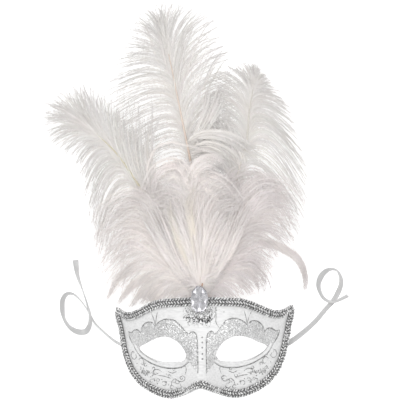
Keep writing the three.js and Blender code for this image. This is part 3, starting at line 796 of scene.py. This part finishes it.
# Ribbons
def make_ribbon(name, ribbon, satin):
    route = np.array(ribbon["route"], float)
    twist = np.radians(ribbon["twist"])
    hump = 1 - smooth(np.abs(np.arange(len(route)) - ribbon["over"]) / RIBBON_HUMP)
    half_width, half_thickness = RIBBON_WIDTH / 2, RIBBON_THICKNESS / 2
    height = half_thickness + RIBBON_LIFT + half_width * np.sin(twist) + RIBBON_CROSSING * hump
    knots = raised(route, height)
    length = steps_of(curve(knots, 400)).sum()
    steps = int(length / RIBBON_STEP)
    path = curve(knots, steps)
    nearest = [np.argmin(np.linalg.norm(path[:, :2] - knot, axis=1)) for knot in route]
    angle = np.interp(np.arange(steps), nearest, twist)[:, None]
    along = unit(np.gradient(path, axis=0))
    side = unit(np.cross(along, [0, 0, 1]))
    wide = side * np.cos(angle) + np.cross(side, along) * np.sin(angle)
    thick = np.cross(wide, along)[:, None]
    across = np.linspace(-1, 1, RIBBON_COLUMNS)[:, None]
    middle = path[:, None] + wide[:, None] * half_width * across
    middle += thick * RIBBON_DISH * (1 - across**2)
    upper = middle + thick * half_thickness
    lower = middle - thick * half_thickness
    ring = np.concatenate([upper, lower[:, ::-1]], axis=1)
    ring[..., 2] = np.maximum(ring[..., 2], RIBBON_LOWEST)
    sides = 2 * RIBBON_COLUMNS
    parts = [(ring.reshape(-1, 3), turned_over(skin(steps, sides)), 0)]
    piece = make_piece("satin_" + name, parts, [satin], name, crease=50)
    run = np.linspace(0, length / RIBBON_WIDTH, steps)
    layer = piece.data.uv_layers.new(name="UVMap")
    for loop in piece.data.loops:
        station, corner = divmod(loop.vertex_index, sides)
        layer.data[loop.index].uv = (corner / sides, run[station])


# Shell, glitter and braid
def shell_edge(top_count, lower_count):
    top = curve(mirror(TOP_EDGE[1:]) + TOP_EDGE, top_count)
    lower = curve(LOWER_EDGE + mirror(LOWER_EDGE[:-1]), lower_count)
    return np.vstack([top[:-1], lower[:-1]])


def eye_edge(side):
    return curve(np.multiply(EYE, [side, 1]), EYE_STATIONS, closed=True)[:-1]


def make_shell(paint, lining):
    plan, triangles, rim = fill(shell_edge(*SHELL_STATIONS), [eye_edge(-1), eye_edge(1)], SHELL_SPACING)
    count = len(plan)
    a, b = rim.T
    front = triangles.tolist() + join(b, a, a + count, b + count).tolist()
    back = (triangles[:, ::-1] + count).tolist()
    body = np.vstack([on_front(plan), on_front(plan, -WALL)])
    parts = [(body, front + back, [0] * len(front) + [1] * len(back))]
    for side in (-1, 1):
        line = curve(np.multiply(LID, [side, 1]), LID_STATIONS)
        parts.append((*tube(on_front(line), LID_RADIUS, LID_RADIUS, 12, front_normal(line)), 0))
    make_piece("shell", parts, [paint, lining], "mask_shell", crease=40)


def stroke(points, width):
    """A raised line of glitter on the front, tapered to its ends."""
    steps = max(int(steps_of(points).sum() / STROKE_STEP), 6)
    line = curve(points, steps)
    f = np.linspace(0, 1, steps)
    taper = STROKE_ENDS + (1 - STROKE_ENDS) * np.sqrt(np.sin(np.pi * f))
    taper *= draw.uniform(*STROKE_SWELLS, steps)
    base = on_front(line, EDGE_SINK)
    body, faces = tube(base, width / 2 * taper, STROKE_HEIGHT * taper, 6, front_normal(line))
    return body + draw.normal(0, STROKE_UNREST, body.shape), faces, 1


def spot(centre, radius, number=1):
    """A small dome of glitter on the front."""
    form, faces = BALL
    normal = front_normal(np.asarray(centre, float))
    across = unit(np.cross([0.0, 1.0, 0.0], normal))
    axes = np.stack([normal, across, np.cross(normal, across)])
    return on_front(centre) + form * [STROKE_HEIGHT, radius, radius] @ axes, faces, number


def dusting(dust, side=1, number=1):
    """Loose grains of glitter strewn along a line of the front."""
    line, spread, count, radii = dust
    places = at(curve(line, 40), draw.uniform(0, 1, count)) + draw.normal(0, spread, (count, 2))
    return [spot(place * [side, 1], draw.uniform(*radii), number) for place in places]


def glitter_area(boundary, holes):
    """A crust of glitter grains over an area of the front, down to the paint at its edge."""
    plan, triangles, rim = fill(boundary, holes, GRAIN, GRAIN / 4)
    lift = draw.uniform(*GRAIN_LIFT, len(plan))
    lift[np.unique(rim)] = -EDGE_SINK
    return on_front(plan, lift), triangles.tolist(), 0


def grains(boundary, hole):
    """Loose grains of glitter strewn over an area of the front, beside its hole."""
    spots = []
    low, high = boundary.min(0), boundary.max(0)
    while len(spots) < ZONE_GRAINS["count"]:
        centre = draw.uniform(low, high)
        if inside(centre[None], boundary)[0] and not inside(centre[None], hole)[0]:
            spots.append(spot(centre, draw.uniform(*ZONE_GRAINS["radius"])))
    return spots


def shifted(points, side):
    """Points of one half of the front, moved with the nose's line where they are near it."""
    x, y = np.array(points, float).T
    return join(side * x + NOSE_SHIFT["by"] * smooth((NOSE_SHIFT["start"] - x) / NOSE_SHIFT["over"]), y)


def zone_edge(side):
    """The glitter area over one eye and beside the nose; its lower edge runs inside the eye hole."""
    lobes = [curve(lobe, 14)[:-1] for lobe in ZONE_LOBES]
    return shifted(np.vstack([*lobes, curve(ZONE_NOSE, 40)[:-1], ZONE_LOW]), side)


def make_ornament(looks):
    """Glitter areas, outlines, scrolls and dots; all of them lie on the shell's front."""
    parts = []
    lid = curve(LID, 40)
    away = left_of(unit(np.gradient(lid, axis=0))) * LID_LINE_OFFSET
    for side in (-1, 1):
        parts.append(glitter_area(zone_edge(side), [eye_edge(side)]))
        for routes, width in LINES:
            parts += [stroke(shifted(route, side), width) for route in routes]
        for leaf in LEAVES:
            parts += dusting(leaf, side)
        for x, y, radius in CHEEK_CURLS:
            turn = draw.uniform(0, 2 * np.pi) + np.linspace(0, CURL_ARC, 8)
            curl = join(x + radius * np.cos(turn), y + radius * np.sin(turn))
            parts.append(stroke(curl * [side, 1], CURL_WIDTH))
        parts += [spot([side * x, y], radius) for (x, y), radius in CHEEK_DOTS]
        parts.append(stroke((lid + away)[::3] * [side, 1], LID_WIDTHS[0]))
        parts.append(stroke((lid - away)[:20:3] * [side, 1], LID_WIDTHS[1]))
        parts += grains(zone_edge(side), eye_edge(side))
    parts.append(stroke(BROW_LINE, BROW_WIDTH))
    parts += dusting(BROW_DUST) + dusting(LOW_DUST) + dusting(SHADED_BAND_DUST, number=2)
    parts += [spot([NOSE_DOTS["x"], y], NOSE_DOTS["radius"]) for y in NOSE_DOTS["y"]]
    make_piece("glitter", parts, looks, flat=True)


def headings(loop):
    return unit(np.roll(loop, -1, axis=0) - np.roll(loop, 1, axis=0))


def inner_edge(edge):
    """The braid's inner edge in plan; near a horn it stays in the corner of the fold."""
    inward = -left_of(headings(edge))
    slope = front_height(*(edge + inward).T) - front_height(*edge.T)
    inner = edge + inward * (BRAID_WIDTH / np.hypot(1, slope))[:, None]
    handed = np.where(edge[:, :1] < 0, [-1, 1], [1, 1])
    tip = handed * TOP_EDGE[-1]
    fold = handed * HORN_FOLD["inward"]

    def side_of(points):
        return np.sign(((points - tip) * left_of(fold)).sum(1))

    near = np.hypot(*(edge - tip).T) < HORN_FOLD["zone"]
    folded = near & (side_of(inner) != side_of(edge))
    inner[folded] = (tip + fold * HORN_FOLD["reach"])[folded]
    return inner


def make_braid(core, thread):
    outer = shell_edge(*BRAID_STATIONS)
    inner = inner_edge(outer)
    rings = np.stack([on_front(outer + (inner - outer) * share, GLUE_GAP + lift)
                      for share, lift in BRAID_SECTION], axis=1)
    faces = turned_over(skin(len(outer), len(BRAID_SECTION), closed=True))
    parts = [(rings.reshape(-1, 3), faces, 0)]
    ball, faces = BALL
    form = ball * STITCH_SIZE
    for share, slant in STITCH_ROWS:
        plan = outer + (inner - outer) * share
        line = on_front(np.vstack([plan, plan[:1]]), GLUE_GAP + BRAID_BODY + STITCH_LIFT)
        centres = even(line, int(steps_of(line).sum() / STITCH_PITCH) + 1)[:-1]
        along = headings(centres)
        normal = front_normal(centres[:, :2])
        across = unit(np.cross(normal, along))
        for centre, t, n, b in zip(centres, along, normal, across):
            tilt = slant * STITCH_SLANT + draw.normal(0, STITCH_UNREST)
            lengthwise = t * np.cos(tilt) + b * np.sin(tilt)
            axes = np.stack([lengthwise, np.cross(n, lengthwise), n])
            stitch = form * draw.uniform(*STITCH_SWELLS, 3)
            place = centre + t * draw.normal(0, STITCH_UNREST)
            parts.append((place + stitch @ axes, faces, 1))
    for side in (-1, 1):
        tip = np.array([side * HORN_CAP["x"], HORN_CAP["y"]])
        parts.append((on_front(tip, GLUE_GAP) + ball * HORN_CAP["core"], faces, 0))
        for turn in np.radians(HORN_CAP["turns"]):
            x, y = side * np.cos(turn), np.sin(turn)
            tilt = HORN_CAP["tilt"]
            place = on_front(tip + np.array([x, y]) * HORN_CAP["reach"], GLUE_GAP + BRAID_BODY)
            axes = np.array([[x, y, -tilt], [-y, x, 0], [tilt * x, tilt * y, 1]])
            parts.append((place + form * HORN_CAP["size"] @ axes, faces, 1))
    make_piece("braid", parts, [core, thread], "braid_trim", crease=60)


# Gem
def make_gem(stone, foil):
    count = GEM["sides"]
    step = np.arange(count)
    size = np.array([GEM["half_width"], GEM["half_length"], GEM["height"]])

    def ring(radius, level, shift):
        turn = 2 * np.pi * (step + shift) / count
        return join(radius * np.cos(turn), radius * np.sin(turn), np.full(count, level)) * size

    star_ring = ring(FOIL["radius"], 0, 0.5)
    star_ring[:, 2] = np.where(step % 2, *FOIL["levels"])
    ends = [[0, 0, FOIL["levels"][0]], [0, 0, GEM["height"] * GEM_CROWN]]
    body = np.vstack([*(ring(*row) for row in GEM_RINGS), star_ring, ends])
    body += [0, GEM["y"], front_height(0, GEM["y"]) + GEM["lift"]]
    low, girdle, middle, table, star = step + count * np.arange(5)[:, None]
    centre, top = 5 * count, 5 * count + 1
    crown = []
    base = []
    for k in range(count):
        m = (k + 1) % count
        base += [[star[k], low[m], low[k]], [star[k], star[m], low[m]], [centre, star[m], star[k]]]
        crown += [[low[k], low[m], girdle[m], girdle[k]],
                  [girdle[k], girdle[m], middle[k]], [girdle[m], middle[m], middle[k]],
                  [middle[k], table[m], table[k]], [middle[k], middle[m], table[m]],
                  [table[k], table[m], top]]
    make_piece("stone", [(body, crown, 0), (body, base, 1)], [stone, foil], "gem", flat=True)


# Plumes
def plume_height(plan, layer):
    x, y = plan[..., 0], plan[..., 1]
    forward = np.maximum(y, 0)
    across = (x / SAG_WIDTH) ** 2 / (1 + (forward / SAG_FADE) ** 2)
    free = ROOT_HEIGHT * (1 - across - (forward / SAG_LENGTH) ** 2)
    rest = (free + np.hypot(free, 2 * FLOOR_SOFTNESS)) / 2
    pitch = LAYER_AT_ROOT + LAYER_SPREAD * smooth(np.hypot(x, y) / SPREAD_LENGTH)
    dome = SWELL["height"] * bell(x / SWELL["half_width"], (y - SWELL["y"]) / SWELL["half_length"])
    swell = dome if layer >= SWELL["layer"] else 0
    return rest + VANE_THICKNESS / 2 + layer * pitch + swell


def barb_lines(plume, growth, side, shaft, tips):
    """Centre lines of one side's barbs, as barb, station and coordinate."""
    count, locks, unrest = growth["barbs"], growth["locks"], growth["unrest"]
    share = (np.arange(count) + draw.uniform(*BARB_PLACES, count)) / count
    lock = (np.arange(locks) + draw.uniform(*BARB_PLACES, locks)) / locks
    chosen = np.argmin(np.abs(share[:, None] - lock), axis=1)
    pull = draw.uniform(*LOCK_PULLS, locks)[chosen] * growth["pull"]
    tip_share = share + (lock[chosen] - share) * pull + draw.normal(0, TIP_UNREST, count) * unrest
    gather = growth["gather"] * plume["gather"][side]
    shaft_share = plume["vane_start"] + (1 - plume["vane_start"]) * share**gather
    root = at(shaft, shaft_share)
    ahead = unit(at(shaft, np.minimum(shaft_share + 0.01, 1)) - at(shaft, shaft_share - 0.01))
    reach = at(tips, np.clip(tip_share, 0, 1)) - root
    shortest = growth["shortest"]
    reach *= (shortest + (BARB_LONGEST - shortest) * draw.uniform(0, 1, count) ** 0.6)[:, None]
    size = np.hypot(*reach.T)[:, None]
    lean = plume["lean"][side] * (1 - share) + TIP_LEAN * share + growth["lean"]
    lean += draw.normal(0, LEAN_UNREST, count) * unrest
    bend = root + ahead * lean[:, None] * size + reach * BARB_BOW
    f = np.linspace(0, 1, BARB_STATIONS)
    g = f[:, None]
    line = (1 - g) ** 2 * root[:, None] + 2 * g * (1 - g) * bend[:, None] + g**2 * (root + reach)[:, None]
    sideways = left_of(unit(np.gradient(line, axis=1)))
    phase = draw.uniform(0, 2 * np.pi, count)[:, None]
    waves = draw.uniform(*BARB_WAVES, count)[:, None]
    swing = draw.normal(0, BARB_SWING, count)[:, None] * size * f**1.6
    line = line + sideways * (swing * np.sin(phase + waves * 2 * np.pi * f))[..., None]
    lift = draw.uniform(*growth["lift"], count)[:, None] * (0.4 + 0.9 * f)
    height = np.maximum(plume_height(line, plume["layer"]) + lift, BARB_LOWEST)
    return raised(line, height)


def warm_root_shaded_tip(f):
    """What a barb's colour is multiplied by, from its warmer root, f = 0, to its tip, darkened by painted
    shade.
    """
    color = 1 - TIP_PAINTED_SHADE * f[:, None] ** 2 - np.array([ROOT_WARMTH]) * (1 - f[:, None]) ** 2
    return np.column_stack([color, np.ones(len(f))])


def strands(lines, width, shade):
    """Narrow strips along lines, tapered to their tips and turned about themselves."""
    count, stations = lines.shape[:2]
    along = unit(np.gradient(lines, axis=1))
    flat = unit(np.cross(along, [0, 0, 1]))
    up = np.cross(flat, along)
    turn = draw.uniform(-BARB_TURN, BARB_TURN, count)[:, None, None]
    across = flat * np.cos(turn) + up * np.sin(turn)
    f = np.linspace(0, 1, stations)[None, :, None]
    half = width / 2 * (1 - BARB_TAPER * f)
    points = np.stack([lines + across * half, lines - across * half], axis=2)
    base = 2 * np.arange(count * stations).reshape(count, stations)[:, :-1]
    quads = join(base, base + 1, base + 3, base + 2).reshape(-1, 4)
    colors = np.repeat(shade, stations * 2, axis=0) * warm_root_shaded_tip(np.tile(np.repeat(f.ravel(), 2), count))
    return points.reshape(-1, 3), quads.tolist(), 0, colors


def barbules(lines, shade):
    """Fine side hairs of every barb, each one narrow triangle."""
    count, stations = lines.shape[:2]
    f = 1 - (1 - draw.uniform(0.02, 1.0, (count, BARBULES))) ** 0.85
    where = f * (stations - 1)
    low = np.minimum(where.astype(int), stations - 2)
    part = (where - low)[..., None]
    rows = np.arange(count)[:, None]
    start = lines[rows, low] * (1 - part) + lines[rows, low + 1] * part
    along = unit(lines[rows, low + 1] - lines[rows, low])
    sideways = unit(np.cross([0, 0, 1], along))
    side = np.where(draw.uniform(0, 1, f.shape) < 0.5, -1, 1)[..., None]
    turn = np.radians(draw.uniform(*BARBULE["turn"], f.shape))[..., None]
    size = BARBULE["length"] * (BARBULE["at_tip"] + BARBULE["fall"] * (1 - f) ** 0.7)
    size *= draw.uniform(*BARBULE["swells"], f.shape)
    heading = along * np.cos(turn) + sideways * side * np.sin(turn)
    tip = start + heading * size[..., None]
    tip[..., 2] += draw.uniform(*BARBULE["lift"], f.shape)
    tip[..., 2] = np.maximum(tip[..., 2], BARBULE["lowest"])
    half = along * BARBULE["width"] / 2
    points = np.stack([start - half, start + half, tip], axis=2).reshape(-1, 3)
    triangles = np.arange(len(points)).reshape(-1, 3).tolist()
    colors = np.repeat(shade, BARBULES * 3, axis=0) * warm_root_shaded_tip(np.repeat(f.ravel(), 3))
    return points, triangles, 0, colors


def barb_parts(lines, width, tone):
    count = len(lines)
    value = draw.normal(1, BARB_SHADES["spread"], (count, 1)).clip(*BARB_SHADES["range"])
    color = np.array(tone) * value + draw.normal(0, BARB_SHADES["tint"], (count, 3))
    shade = np.hstack([color, np.ones((count, 1))])
    return [strands(lines, width, shade), barbules(lines, shade)]


def along_route(layer, route, count, wide, lift):
    """Loose barbs beside a route, from wide[0] round its start to wide[1] round its end."""
    line = curve(route, ROUTE_STATIONS)
    aside = left_of(unit(np.gradient(line, axis=0)))
    first = draw.uniform(*ROUTE_STARTS, count)[:, None]
    last = draw.uniform(*ROUTE_ENDS, count)[:, None]
    share = first + (last - first) * np.linspace(0, 1, BARB_STATIONS)
    place = draw.uniform(-1, 1, count)[:, None] * (wide[0] + (wide[1] - wide[0]) * share)
    plan = at(line, share) + at(aside, share) * place[..., None]
    height = plume_height(plan, layer) + draw.uniform(*lift, count)[:, None] * smooth(share * 4)
    return raised(plan, height)


def quill_part(plume, shaft):
    f = np.linspace(0, 1, QUILL_STATIONS)
    line = at(shaft, f * QUILL_END)
    height = plume_height(line, plume["layer"]) + SHAFT_RIDGE / 2 + QUILL_LIFT
    radius = plume["quill_radius"] * (1 - QUILL_TAPER * f**2)
    body, faces = tube(raised(line, height), radius, radius)
    fade = smooth((f - QUILL_FADE["start"]) / QUILL_FADE["over"])[:, None]
    root, tip = np.array(plume["quill"])
    color = np.column_stack([root * (1 - fade) + tip * fade, np.ones(len(f))])
    return body, faces, 1, np.repeat(color, len(body) // len(f), axis=0)


def stub_part(plume):
    """The cut end of a quill that shows over the gem."""
    line = curve(plume["stub"], 8)
    height = plume_height(line, plume["layer"]) + STUB["lift"]
    body, faces = tube(raised(line, height), STUB["radius"], STUB["radius"])
    return body, faces, 1, np.tile([*STUB["color"], 1], (len(body), 1))


def make_plume(name, plume, barbs, quill):
    shaft = curve(plume["shaft"], PLUME_STATIONS)
    width, tone, layer = plume["barb_width"], plume["tone"], plume["layer"]
    parts = []
    for side, key in enumerate(("left", "right")):
        tips = curve(plume[key], PLUME_STATIONS)
        for growth in plume["growths"]:
            parts += barb_parts(barb_lines(plume, growth, side, shaft, tips), width, tone)
    # A loose route's brightness factor paints light (above 1) and shade (below 1) into its barbs' tone.
    for route, count, wide, lift, *bright in plume["loose"]:
        lines = along_route(layer, route, count, wide, lift)
        parts += barb_parts(lines, width, np.multiply(tone, bright or 1))
    parts.append(quill_part(plume, shaft))
    if "stub" in plume:
        parts.append(stub_part(plume))
    make_piece(name + "_feather", parts, [barbs, quill], name)


make_camera()
satin = satin_look()
for name, ribbon in RIBBONS.items():
    make_ribbon(name, ribbon, satin)
make_floor()
make_world()
for name, lamp in LAMPS.items():
    make_lamp(name, *lamp)
bpy.context.scene.view_settings.view_transform = "Standard"

BALL = ellipsoid()
make_shell(paint_look(), lining_look())
# The near-black third glitter is painted shade, for the band of grains under the gem.
make_ornament([glitter_look("glitter_fill", 0.5, 0.95), glitter_look("glitter_line", 0.1, 0.6),
               glitter_look("glitter_painted_shade", 0.0, 0.12)])
make_braid(core_painted_shade_look(), thread_look())
make_gem(stone_look(), foil_look())
barb_material = plume_look()
quill_material = quill_look()
for name, plume in PLUMES.items():
    make_plume(name, plume, barb_material, quill_material)
